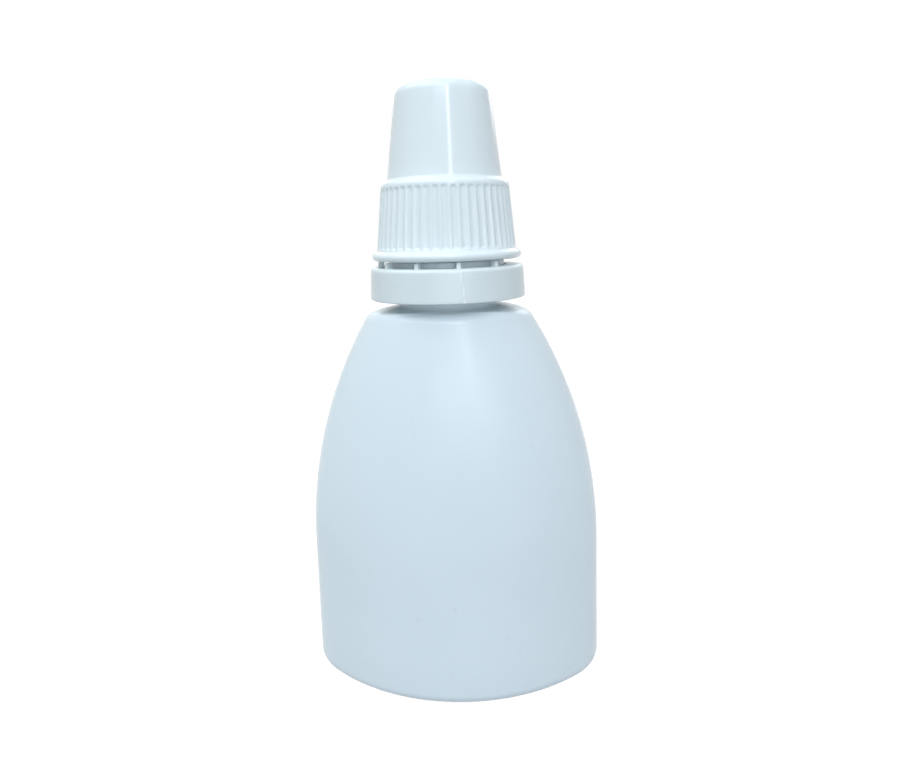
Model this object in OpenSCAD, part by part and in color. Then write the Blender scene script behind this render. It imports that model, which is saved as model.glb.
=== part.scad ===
// Eye drop bottle: a squeezable oval bottle, the dropper tip pressed into its neck,
// a ribbed screw cap with a tapering top, and the tamper ring left on the neck.
// Millimetres. The origin is the centre of the base, +Z is up and the front faces -Y.

/* [Bottle] */
// Width of the body, side to side
body_width = 33.7; // [26:0.1:42]
// Depth of the body, front to back
body_depth = 20.7; // [17:0.1:26]
// Radius of the rounded sides, seen from above
side_radius = 6.3; // [4:0.1:7]
// Height up to which the body stands upright
upright_height = 15; // [8:0.5:20]
// Width of the shoulder, at its edge
shoulder_width = 18.4; // [16:0.1:22]
// Depth of the shoulder, at its edge
shoulder_depth = 14.7; // [13.8:0.1:16.4]
// Height of the shoulder where the neck stands on it
shoulder_height = 42.65; // [34:0.05:52]
// Slope of the shoulder in degrees
shoulder_slope = 11; // [4:1:16]
// Rounding of the shoulder's edge
shoulder_round = 1.6; // [1.2:0.1:2]
// Rounding of the edge round the base
base_round = 1.2; // [0.6:0.1:2.4]
// Thickness of the wall
wall = 0.9; // [0.5:0.05:1.1]
// Thickness of the floor
floor_wall = 1.3; // [1:0.1:2]
// Depth of the hollow under the base
base_hollow = 0.4; // [0.2:0.1:0.6]
// Width of the rim that the bottle stands on
rim_width = 1.6; // [0.8:0.1:3]

/* [Neck] */
// Outer diameter of the neck
neck_d = 11.4; // [10.4:0.1:12.2]
// Thickness of the neck's wall
neck_wall = 1.3; // [1:0.05:1.8]
// Height of the thread's ridge, and of the collar, above the neck's wall
thread_depth = 0.8; // [0.6:0.05:1]
// Rise of the thread in one turn
thread_pitch = 2.1; // [1.8:0.05:2.6]
// Turns of the thread
thread_turns = 1.5; // [1:0.25:2.5]
// Width of the thread's ridge at its foot
thread_foot = 1.1; // [0.8:0.05:1.2]
// Width of the thread's ridge at its crest
thread_crest = 0.6; // [0.3:0.05:0.7]
// Height of the plain neck above the thread
neck_land = 0.85; // [0.6:0.05:2]
// Height of the collar's underside above the shoulder
collar_start = 2.35; // [1.9:0.05:4]
// Height of the collar
collar_height = 2.9; // [2.4:0.05:3.2]

/* [Dropper tip] */
// How far the plug reaches down into the neck
plug_length = 5.2; // [3:0.1:8]
// Thickness of the plug's wall
plug_wall = 0.95; // [0.6:0.05:1.3]
// Length of the plug's bevelled end
plug_bevel = 0.5; // [0.2:0.05:0.8]
// Step from the neck's wall in to the edge of the tip's rim
rim_step = 0.1; // [0:0.02:0.3]
// Thickness of the tip's rim
tip_rim = 0.9; // [0.6:0.05:1.4]
// Bevel of the tip's rim
rim_bevel = 0.25; // [0.1:0.05:0.4]
// Diameter of the nozzle where it leaves the rim
nozzle_foot_d = 7.2; // [6.4:0.1:8]
// Diameter of the nozzle's end
nozzle_end_d = 3.4; // [2.8:0.1:4]
// Rounding of the nozzle's end
nozzle_round = 0.3; // [0.1:0.05:0.4]
// Height of the nozzle above its rim
nozzle_height = 9.2; // [7:0.1:12]
// Thickness of the nozzle's wall
nozzle_wall = 0.9; // [0.6:0.05:1.1]
// Diameter of the fine channel that measures the drops
channel_d = 0.6; // [0.4:0.05:0.8]
// Length of the fine channel
channel_length = 2.6; // [1.5:0.1:3.5]
// Diameter of the well in which a drop forms
well_d = 1.7; // [1.3:0.1:2]
// Depth of the well
well_depth = 1.1; // [0.7:0.1:1.5]

/* [Screw cap] */
// Thickness of the skirt's wall at its foot
skirt_wall = 1.2; // [1:0.05:1.6]
// Thickness of the skirt's wall at its shoulder
skirt_top_wall = 0.55; // [0.45:0.05:0.9]
// Rounding of the skirt's shoulder
skirt_round = 0.65; // [0.3:0.05:0.8]
// Height of the skirt's shoulder above the tip's rim
skirt_rise = 1.2; // [1:0.05:2]
// Reach of the foot flange beyond the skirt
flange_reach = 0.6; // [0.3:0.05:1]
// Thickness of the flange
flange_height = 0.95; // [0.7:0.05:1.3]
// Height of the hollow curve from the flange up to the skirt
flange_blend = 0.3; // [0.2:0.05:0.5]
// Width of the seat that closes on the tip's rim
seat_width = 0.22; // [0.15:0.01:0.5]
// Thickness of the wall of the tapering top
cone_wall = 1.05; // [0.8:0.05:1.15]
// Slope of the tapering top's wall in degrees
cone_draft = 6; // [2:0.5:9]
// Rounding of the top's edge
cone_round = 1.4; // [0.6:0.1:2]
// Height of the hollow curve from the skirt's shoulder up to the tapering top
cone_blend = 0.35; // [0.2:0.05:0.6]
// How far the top bulges above its edge
crown = 0.12; // [0.05:0.01:0.3]
// Thickness of the top
top_wall = 1.2; // [0.9:0.05:1.6]
// Bevel inside the top's corner
ceiling_bevel = 0.6; // [0.3:0.1:1]
// Room between the nozzle's end and the ceiling of the cap
nozzle_room = 1.35; // [0.6:0.05:3]
// Length of the sleeve that closes round the nozzle
sleeve_length = 3.8; // [2:0.1:5]
// Thickness of the sleeve's wall
sleeve_wall = 0.7; // [0.5:0.05:0.9]
// Number of grooves round the skirt
groove_count = 48; // [24:1:54]
// Width of a groove
groove_width = 0.8; // [0.5:0.02:0.86]
// Depth of a groove
groove_depth = 0.2; // [0.1:0.02:0.26]

/* [Tamper ring] */
// Height of the ring
ring_height = 3.6; // [3:0.05:4.2]
// Reach of the web at the ring's top, from the collar out to the ring's edge
web_reach = 1.95; // [1.5:0.05:2.4]
// Thickness of the web
web = 0.8; // [0.5:0.05:1]
// How far the ring widens from its top to its bottom, on the radius
ring_flare = 0.15; // [0:0.05:0.4]
// Rounding of the ring's upper edge
ring_round = 0.45; // [0.2:0.05:0.7]
// Thickness of the ring's outer wall
ring_wall = 0.9; // [0.6:0.05:1.2]
// Reach of the lip under the collar, on the radius
lip_grip = 0.35; // [0.2:0.05:0.5]
// Thickness of the lip
lip_height = 0.8; // [0.5:0.05:0.9]
// Bevel of the lip
lip_bevel = 0.35; // [0.1:0.05:0.45]
// How far the outer wall reaches below the lip
ring_drop = 0.35; // [0.1:0.05:0.8]
// Number of broken bridges on the ring
bridge_count = 9; // [4:1:10]
// Angle from one bridge to the next, in degrees
bridge_pitch = 33; // [24:1:36]
// Direction of the first bridge, in degrees to the right of the front
bridge_first = 46; // [0:1:90]
// Width of a bridge
bridge_width = 0.45; // [0.3:0.05:0.8]
// Thickness of a bridge, on the radius
bridge_depth = 0.7; // [0.4:0.05:0.9]
// Step from the web's inner edge out to a bridge
bridge_step = 0.45; // [0.1:0.05:0.8]

/* [Fits] */
// Tightness of the plug in the bore, on the radius
plug_squeeze = 0.04; // [0.01:0.01:0.08]
// Gap between a thread's crest and the wall that it turns in, on the radius
thread_gap = 0.15; // [0.1:0.01:0.2]
// Height between the collar and the beginning of the cap's thread
collar_gap = 0.32; // [0.2:0.02:0.6]
// Gap between the closed cap and the tip's rim
seat_gap = 0.08; // [0.05:0.01:0.2]
// Gap between the nozzle and the cap's sleeve and pin
seal_gap = 0.12; // [0.08:0.01:0.2]
// Gap between the ring and the collar that it turns on
ring_play = 0.2; // [0.1:0.01:0.3]
// Gap between the ring and the cap's foot
ring_gap = 0.7; // [0.4:0.05:1.2]
// Gap between a broken bridge and the cap's foot
bridge_gap = 0.1; // [0.05:0.01:0.2]

/* [Hidden] */
$fn = 96;

// Directions taken round the oval, and steps along each round stretch of its wall
columns = 56;
base_steps = 3;
bell_steps = 10;
round_steps = 4;
edge_steps = 5;
hollow_steps = 3;
// Angles at which the flange's rounding, a rounded upper edge and a hollow curve end or begin
flange_end = 60;
edge_end = 82;
hollow_start = 240;
// Degrees between the profiles of a thread, and degrees over which its ends run out
thread_step = 15;
run_out = 45;
// Share of the thread's height that is left at its ends, inside the wall
run_out_end = 0.15;
// How far one shape reaches into the next, so that they become one solid
bite = 0.25;
// Length by which a cutting shape runs past what it cuts
past = 1;

neck_r = neck_d / 2;
bore_r = neck_r - neck_wall;
crest_r = neck_r + thread_depth;
// Half the width of a ridge where it is sunk into its wall
thread_sunk = thread_crest / 2 + (thread_foot - thread_crest) / 2 * (1 + bite / thread_depth);

collar_low = shoulder_height + collar_start;
collar_top = collar_low + collar_height;
thread_low = collar_top + collar_gap + thread_sunk + thread_pitch / 2;
neck_top = thread_low + thread_pitch * thread_turns + thread_sunk + neck_land;

plug_r = bore_r + plug_squeeze;
tip_rim_r = neck_r - rim_step;
rim_top = neck_top + tip_rim;
nozzle_top = rim_top + nozzle_height;
nozzle_foot_r = nozzle_foot_d / 2;
nozzle_end_r = nozzle_end_d / 2;
nozzle_slope = (nozzle_foot_r - nozzle_end_r) / nozzle_height;

// The ring's lip lies under the collar
lip_top = collar_low - ring_play;
ring_low = lip_top - lip_height - ring_drop;
ring_top = ring_low + ring_height;
web_r = crest_r + ring_play;
ring_top_r = web_r + web_reach;
ring_foot_r = ring_top_r + ring_flare;

// The cap's foot lies over the ring, its seat on the tip's rim and its ceiling over the nozzle
cap_low = ring_top + ring_gap;
cap_bore_r = crest_r + thread_gap;
cap_crest_r = neck_r + thread_gap;
seat_z = rim_top + seat_gap;
seat_r = tip_rim_r - seat_width;
ceiling_z = nozzle_top + nozzle_room;
cap_top = ceiling_z + top_wall;
skirt_foot_r = cap_bore_r + skirt_wall;
skirt_top_r = cap_bore_r + skirt_top_wall;
skirt_low = cap_low + flange_height + flange_blend;
skirt_z = rim_top + skirt_rise;
skirt_slope = atan((skirt_foot_r - skirt_top_r) / (skirt_z - skirt_round - skirt_low));
cone_low = skirt_z + cone_blend;
cone_foot_r = seat_r + cone_wall;
cone_top_z = cap_top - crown;
cone_top_r = cone_foot_r - (cone_top_z - cone_low) * tan(cone_draft);

// Points of an arc about [x, z], from one angle to another
function arc(x, z, r, from, to, steps) =
    [for (i = [0:steps]) let (t = from + (to - from) * i / steps) [x + r * cos(t), z + r * sin(t)]];

// Points of a hollow curve of radius r that climbs from a ledge and ends upright at [x, z]
function hollow_arc(x, z, r) = arc(x + r, z, r, hollow_start, 180, hollow_steps);

// Point of an oval of half width a and half depth b whose outward normal points along t. The sides
// are arcs of radius r, and the front and back are the wider arcs that meet them without a corner.
function oval_point(a, b, r, t) =
    let (
        wide = (b * b - r * r + (a - r) * (a - r)) / (2 * (b - r)),
        meet = atan2(wide - b, a - r),
        c = abs(cos(t)),
        s = abs(sin(t)),
        on_side = atan2(s, c) < meet,
        x = on_side ? a - r + r * c : wide * c,
        y = on_side ? r * s : wide * s - (wide - b)
    ) [sign(cos(t)) * x, sign(sin(t)) * y];

// Outline of one wall of the body from the base to the neck, as [distance from the axis, height].
// half is the body's half size there and edge the shoulder's. inset is 0 outside and the wall's
// thickness inside, where every round stretch keeps its centre.
function body_outline(half, edge, inset, low, end_r) =
    let (
        run = tan(shoulder_slope),
        drop = half - edge,
        rise = shoulder_height - run * (edge - neck_r) - upright_height,
        curve = (rise * rise + drop * drop) / (2 * drop),
        bell_x = half - curve,
        line_z = shoulder_height - shoulder_round / cos(shoulder_slope) + run * neck_r - upright_height,
        k = bell_x + run * line_z,
        rest = bell_x * bell_x + line_z * line_z - pow(curve - shoulder_round, 2),
        edge_x = (k + sqrt(k * k - (1 + run * run) * rest)) / (1 + run * run),
        edge_z = upright_height + line_z - run * edge_x,
        turn = atan2(edge_z - upright_height, edge_x - bell_x),
        top_turn = 90 - shoulder_slope,
        first_turn = turn + (top_turn - turn) / round_steps
    ) concat(
        arc(half - inset - base_round, low + base_round, base_round, -90, 0, base_steps),
        arc(bell_x, upright_height, curve - inset, 0, turn, bell_steps),
        arc(edge_x, edge_z, shoulder_round - inset, first_turn, top_turn, round_steps - 1),
        [[end_r, shoulder_height - inset / cos(shoulder_slope) - run * (end_r - neck_r)]]
    );

// Closed solid whose side outline and front outline are given point for point
module body_solid(inset, low, end_r) {
    side = body_outline(body_width / 2, shoulder_width / 2, inset, low, end_r);
    face = body_outline(body_depth / 2, shoulder_depth / 2, inset, low, end_r);
    rows = len(side);
    // The tightest rounding of the sides that a shallow row still has room for
    fullest = 0.97;
    points = [for (k = [0:rows - 1]) for (j = [0:columns - 1])
        let (
            t = 360 * j / columns,
            b = face[k][0],
            p = oval_point(side[k][0], b, min(side_radius - inset, fullest * b), t),
            z = side[k][1] + (face[k][1] - side[k][1]) * pow(sin(t), 2)
        ) [p[0], p[1], z]];
    polyhedron(
        points = points,
        faces = concat(
            [[for (j = [0:columns - 1]) j]],
            [for (k = [0:rows - 2]) for (j = [0:columns - 1])
                let (n = (j + 1) % columns, a = k * columns, b = a + columns)
                each [[a + j, b + n, a + n], [a + j, b + j, b + n]]],
            [[for (j = [columns - 1:-1:0]) (rows - 1) * columns + j]]
        ),
        convexity = 4
    );
}

// Flat hollow under the base, inside the rim that the bottle stands on
module base_hollow_cut() {
    in = base_round + rim_width;
    a = body_width / 2 - in;
    b = body_depth / 2 - in;
    translate([0, 0, -past])
        linear_extrude(height = past + base_hollow)
            polygon([for (j = [0:columns - 1])
                oval_point(a, b, min(side_radius, b) - in / 2, 360 * j / columns)]);
}

// Ridge of a thread round the axis, from radius foot to radius crest, one profile every thread_step
// degrees. Its ends run out into the wall, and low is the height of its middle where it begins.
module thread_ridge(foot, crest, low) {
    steps = round(360 * thread_turns / thread_step);
    half_crest = thread_crest / 2;
    points = [for (i = [0:steps])
        let (
            turn = i * thread_step,
            to_end = min(turn, steps * thread_step - turn),
            r = foot + (crest - foot) * max(run_out_end, min(1, to_end / run_out)),
            z = low + thread_pitch * turn / 360
        ) each [for (p = [[foot, -thread_sunk], [r, -half_crest], [r, half_crest], [foot, thread_sunk]])
            [p[0] * cos(turn), p[0] * sin(turn), z + p[1]]]];
    faces = concat(
        [for (i = [0:steps - 1]) for (j = [0:3])
            let (a = 4 * i + j, b = 4 * i + (j + 1) % 4)
            each [[a, b, a + 4], [b, b + 4, a + 4]]],
        [[3, 2, 1, 0], [for (j = [0:3]) 4 * steps + j]]
    );
    polyhedron(
        points = points,
        faces = crest > foot ? faces : [for (f = faces) [for (j = [len(f) - 1:-1:0]) f[j]]],
        convexity = 6
    );
}

module bottle() color([0.91, 0.95, 0.96]) difference() {
    union() {
        body_solid(0, 0, neck_r - bite);
        translate([0, 0, shoulder_height - wall])
            cylinder(r = neck_r, h = neck_top - shoulder_height + wall);
        translate([0, 0, collar_low])
            cylinder(r = crest_r, h = collar_height);
        thread_ridge(neck_r - bite, crest_r, thread_low);
    }
    body_solid(wall, floor_wall, bore_r - bite);
    translate([0, 0, shoulder_height - 2 * wall])
        cylinder(r = bore_r, h = neck_top - shoulder_height + 2 * wall + past);
    base_hollow_cut();
}

module dropper_tip() color([0.95, 0.97, 0.97]) {
    plug_low = neck_top - plug_length;
    hollow_r = plug_r - plug_wall;
    channel_low = nozzle_top - well_depth - channel_length;
    // Radius at which the hollow, a wall's thickness inside the nozzle, closes in on the channel
    narrow_r = nozzle_end_r + nozzle_slope * (well_depth + channel_length) - nozzle_wall;
    rotate_extrude() polygon(concat(
        [[hollow_r, plug_low], [plug_r - plug_bevel / 2, plug_low], [plug_r, plug_low + plug_bevel],
         [plug_r, neck_top], [tip_rim_r, neck_top],
         [tip_rim_r, rim_top - rim_bevel], [tip_rim_r - rim_bevel, rim_top],
         [nozzle_foot_r, rim_top]],
        arc(nozzle_end_r - nozzle_round, nozzle_top - nozzle_round, nozzle_round, 0, 90, edge_steps),
        [[well_d / 2, nozzle_top], [well_d / 2, nozzle_top - well_depth],
         [channel_d / 2, nozzle_top - well_depth], [channel_d / 2, channel_low],
         [narrow_r, channel_low - (narrow_r - channel_d / 2)],
         [nozzle_foot_r - nozzle_wall, rim_top], [hollow_r, neck_top]]
    ));
}

// Walls of the cap, turned about the axis
module cap_shell() rotate_extrude() difference() {
    edge = flange_height / 2;
    polygon(concat(
        [[0, cap_low]],
        arc(skirt_foot_r + flange_reach - edge, cap_low + edge, edge, -90, flange_end, 2 * edge_steps),
        hollow_arc(skirt_foot_r, skirt_low, flange_blend),
        arc(skirt_top_r - skirt_round, skirt_z - skirt_round, skirt_round, skirt_slope, edge_end, edge_steps),
        hollow_arc(cone_foot_r, cone_low, cone_blend),
        arc(cone_top_r - cone_round, cone_top_z - cone_round, cone_round, cone_draft, edge_end, edge_steps),
        [[0, cap_top]]
    ));
    inner_top_r = cone_top_r - cone_wall;
    lead = cap_bore_r - cap_crest_r;
    polygon([
        [0, cap_low - past], [cap_bore_r + thread_gap, cap_low - past], [cap_bore_r + thread_gap, cap_low],
        [cap_bore_r, cap_low + 2 * thread_gap], [cap_bore_r, neck_top - lead],
        [cap_crest_r, neck_top], [cap_crest_r, seat_z],
        [seat_r, seat_z], [inner_top_r, ceiling_z - ceiling_bevel],
        [inner_top_r - ceiling_bevel, ceiling_z], [0, ceiling_z]
    ]);
}

// Sleeve and pin that close the nozzle, hanging from the cap's ceiling
module cap_seal() {
    sleeve_low = ceiling_z - sleeve_length;
    mouth_r = nozzle_end_r + nozzle_slope * (nozzle_top - sleeve_low) + seal_gap;
    end_r = nozzle_end_r + seal_gap;
    pin_low = nozzle_top - well_depth + seal_gap;
    rotate_extrude() polygon([
        [mouth_r, sleeve_low], [mouth_r + sleeve_wall, sleeve_low],
        [mouth_r + sleeve_wall, ceiling_z + bite], [end_r, ceiling_z + bite], [end_r, nozzle_top]
    ]);
    translate([0, 0, pin_low])
        cylinder(r = well_d / 2 - seal_gap, h = ceiling_z + bite - pin_low);
}

// One groove of the skirt: round in section, along the skirt's slope, with a round upper end
module groove() {
    r = (groove_width * groove_width / 4 + groove_depth * groove_depth) / (2 * groove_depth);
    length = (skirt_z - skirt_round - r - skirt_low) / cos(skirt_slope);
    translate([skirt_foot_r + (r - groove_depth) * cos(skirt_slope), 0, skirt_low])
        rotate([0, -skirt_slope, 0]) {
            cylinder(r = r, h = length, $fn = 24);
            translate([0, 0, length])
                sphere(r = r, $fn = 24);
        }
}

module screw_cap() color([0.93, 0.96, 0.97]) difference() {
    union() {
        cap_shell();
        cap_seal();
        thread_ridge(cap_bore_r + bite, cap_crest_r, thread_low - thread_pitch / 2);
    }
    for (i = [0:groove_count - 1])
        rotate([0, 0, 360 * (i + 0.5) / groove_count]) groove();
}

module tamper_ring() color([0.92, 0.95, 0.96]) {
    inner_r = ring_top_r - ring_wall;
    lip_r = crest_r - lip_grip;
    lip_low = lip_top - lip_height;
    rotate_extrude() polygon(concat(
        [[ring_foot_r - ring_wall, ring_low], [ring_foot_r, ring_low]],
        arc(ring_top_r - ring_round, ring_top - ring_round, ring_round, 0, 90, edge_steps),
        [[web_r, ring_top], [web_r, ring_top - web], [inner_r, ring_top - web],
         [inner_r, lip_top], [lip_r, lip_top], [lip_r, lip_low + lip_bevel],
         [lip_r + lip_bevel, lip_low], [ring_foot_r - ring_wall, lip_low]]
    ));
    for (i = [0:bridge_count - 1])
        rotate([0, 0, bridge_first - 90 - bridge_pitch * i])
            translate([web_r + bridge_step, -bridge_width / 2, ring_top - bite])
                cube([bridge_depth, bridge_width, ring_gap - bridge_gap + bite]);
}

bottle();
dropper_tip();
screw_cap();
tamper_ring();
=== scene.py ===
"""Looks of a squeezable eye drop bottle with a dropper tip, a ribbed screw cap and a tamper ring.

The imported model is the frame. Every piece here stands for one of its nodes, in the same place and
at the same size, as a finer skin with its mould lines, and rides on that node's body. Lengths are
in millimetres, and become metres where a vertex is placed. Angles are in radians, or in degrees
where their name or text says so. A turn is an angle round the upright axis, from +X towards +Y.
"""

import logging
from dataclasses import dataclass
from enum import Enum
from math import atan, atan2, ceil, copysign, cos, degrees, exp, hypot, pi, radians, sin, sqrt, tan
from typing import Callable, Iterable, Sequence

import bmesh
import bpy
from mathutils import Euler, Matrix, Vector


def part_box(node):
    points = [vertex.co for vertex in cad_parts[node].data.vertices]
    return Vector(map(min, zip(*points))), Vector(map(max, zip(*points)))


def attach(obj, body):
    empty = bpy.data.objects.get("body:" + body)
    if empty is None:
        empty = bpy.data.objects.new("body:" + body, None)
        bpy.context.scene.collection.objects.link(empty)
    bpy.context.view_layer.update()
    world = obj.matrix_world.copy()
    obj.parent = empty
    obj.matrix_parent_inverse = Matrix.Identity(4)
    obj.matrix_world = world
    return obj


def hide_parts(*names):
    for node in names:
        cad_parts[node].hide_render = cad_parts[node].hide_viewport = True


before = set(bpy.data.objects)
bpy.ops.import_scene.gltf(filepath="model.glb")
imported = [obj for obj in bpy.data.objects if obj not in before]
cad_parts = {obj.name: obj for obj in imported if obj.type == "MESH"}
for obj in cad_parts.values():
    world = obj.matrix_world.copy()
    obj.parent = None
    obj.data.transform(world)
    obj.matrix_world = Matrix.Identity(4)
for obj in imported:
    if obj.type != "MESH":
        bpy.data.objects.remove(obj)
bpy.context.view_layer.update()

LOG = logging.getLogger("eye_drop_bottle")
MM = 0.001
FULL_TURN = 2 * pi
MERGE_WITHIN = 1e-4

Point = tuple[float, float]
Row = Callable[[float], Vector]
Colour = tuple[float, float, float]
Socket = bpy.types.NodeSocket
Feed = float | tuple[float, ...] | Socket


class Body(Enum):
    """The bodies of the frame that a piece can ride on."""

    BOTTLE = "bottle"
    RING = "tamper_ring"
    CAP = "screw_cap"


class Slot(Enum):
    """The material slots of the record."""

    BOTTLE = "bottle_plastic"
    TIP = "tip_plastic"
    CAP = "cap_plastic"
    RING = "ring_plastic"


def arc(centre: Point, radius: float, start: float, end: float, steps: int) -> list[Point]:
    """Points of an arc from one angle to another, in degrees, with 0 outwards and 90 up."""
    angles = [radians(start + (end - start) * i / steps) for i in range(steps + 1)]
    return [(centre[0] + radius * cos(a), centre[1] + radius * sin(a)) for a in angles]


def between(first: Point, last: Point, steps: int) -> list[Point]:
    """Points strictly between two points, in equal steps."""
    return [
        (first[0] + (last[0] - first[0]) * i / steps, first[1] + (last[1] - first[1]) * i / steps)
        for i in range(1, steps)
    ]


def ease(value: float) -> float:
    """Smooth step of a value from 0 to 1, held at both ends."""
    held = min(1.0, max(0.0, value))
    return held * held * (3 - 2 * held)


def bump_of(distance: float, width: float) -> float:
    """Height, from 0 to 1, of a soft raised line at a distance from its middle."""
    return exp(-((distance / width) ** 2))


def signed_turn(turn: float) -> float:
    """The same turn, between minus half a turn and half a turn."""
    return (turn + pi) % FULL_TURN - pi


def round_row(radius: float, height: float) -> Row:
    """A level circle round the axis, as a row of a skin."""
    return lambda turn: Vector((radius * cos(turn), radius * sin(turn), height))


def round_rows(points: Iterable[Point]) -> list[Row]:
    """Level circles round the axis, one for each point of an outline."""
    return [round_row(*point) for point in points]


def rows_between(first: Row, last: Row, steps: int) -> list[Row]:
    """Rows strictly between two rows, in equal steps."""
    shares = [i / steps for i in range(1, steps)]
    return [lambda turn, share=share: first(turn).lerp(last(turn), share) for share in shares]


def even_turns(count: int) -> list[float]:
    """Turns of evenly spaced columns."""
    return [FULL_TURN * i / count for i in range(count)]


def in_scene(name: str, data: bpy.types.ID) -> bpy.types.Object:
    """Makes an object of its data and links it to the scene."""
    made = bpy.data.objects.new(name, data)
    bpy.context.scene.collection.objects.link(made)
    return made


class Skin:
    """A mesh that is drawn as a skin, from one closed row of vertices to the next.

    Every column keeps its turn in a layer of the mesh, so that a row is any rule that gives the
    place of a vertex from its turn.
    """

    def __init__(self) -> None:
        """Starts an empty mesh."""
        self.mesh = bmesh.new()
        self.turn = self.mesh.verts.layers.float.new("turn")
        self.first, self.rim = [], []

    def draw(self, turns: Sequence[float], rows: Sequence[Row]) -> None:
        """Draws rows with columns of their own, on from the last row if there is one.

        Args:
            turns: The turn of each column.
            rows: The rules of the rows, in order.
        """
        made = bmesh.ops.create_circle(self.mesh, cap_ends=False, radius=1.0, segments=len(turns))
        for vertex, turn in zip(made["verts"], turns):
            vertex[self.turn] = turn
            vertex.co = rows[0](turn) * MM
        edges = [edge for vertex in made["verts"] for edge in vertex.link_edges]
        loop = list(dict.fromkeys(edges))
        if self.rim:
            bmesh.ops.bridge_loops(self.mesh, edges=self.rim + loop)
        self.first, self.rim = self.first or loop, loop
        self.add(rows[1:])

    def add(self, rows: Iterable[Row]) -> None:
        """Draws more rows with the same columns.

        Args:
            rows: The rules of the rows, in order.
        """
        for row in rows:
            made = bmesh.ops.extrude_edge_only(self.mesh, edges=self.rim)["geom"]
            fresh = {item for item in made if isinstance(item, bmesh.types.BMVert)}
            for vertex in fresh:
                vertex.co = row(vertex[self.turn]) * MM
            self.rim = [item for item in made
                        if isinstance(item, bmesh.types.BMEdge) and set(item.verts) <= fresh]

    def close_ring(self) -> None:
        """Joins the last row to the first one."""
        bmesh.ops.bridge_loops(self.mesh, edges=self.rim + self.first)


class Graph:
    """The nodes of a material or of the world, with short ways to add to them."""

    def __init__(self, owner: bpy.types.Material | bpy.types.World) -> None:
        """Switches the owner's nodes on."""
        owner.use_nodes = True
        self.tree = owner.node_tree

    def feed(self, node: bpy.types.Node, feeds: dict[str | int, Feed]) -> None:
        """Sets inputs of a node.

        Args:
            node: The node.
            feeds: For each input, its value or the socket that leads to it.
        """
        for name, feed in feeds.items():
            if isinstance(feed, Socket):
                self.tree.links.new(feed, node.inputs[name])
            else:
                node.inputs[name].default_value = feed

    def add(self, kind: str, feeds: dict[str | int, Feed],
            **settings: str) -> bpy.types.NodeOutputs:
        """Adds a node.

        Args:
            kind: Type of the node.
            feeds: Its inputs, as feed takes them.
            settings: Its own settings.

        Returns:
            The node's outputs.
        """
        node = self.tree.nodes.new(kind)
        for name, setting in settings.items():
            setattr(node, name, setting)
        self.feed(node, feeds)
        return node.outputs

    def reckon(self, operation: str, first: Feed, second: Feed) -> Socket:
        """Result of an operation on two values."""
        return self.add("ShaderNodeMath", {0: first, 1: second}, operation=operation)["Value"]

    def blend(self, share: Feed, colour: Feed, other: Colour) -> Socket:
        """Colour that goes over to another one by a share."""
        feeds = {"Factor": share, "A": colour, "B": (*other, 1.0)}
        return self.add("ShaderNodeMix", feeds, data_type="RGBA")["Result"]

    def place(self) -> Socket:
        """Place on the piece."""
        return self.add("ShaderNodeTexCoord", {})["Object"]

    def seen_ray(self) -> Socket:
        """A value that is 1 on the rays that show the surroundings themselves.

        Returns:
            The value.
        """
        path = self.add("ShaderNodeLightPath", {})
        shown = self.reckon("MAXIMUM", path["Is Camera Ray"], path["Is Glossy Ray"])
        return self.reckon("MAXIMUM", shown, path["Is Transmission Ray"])


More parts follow.
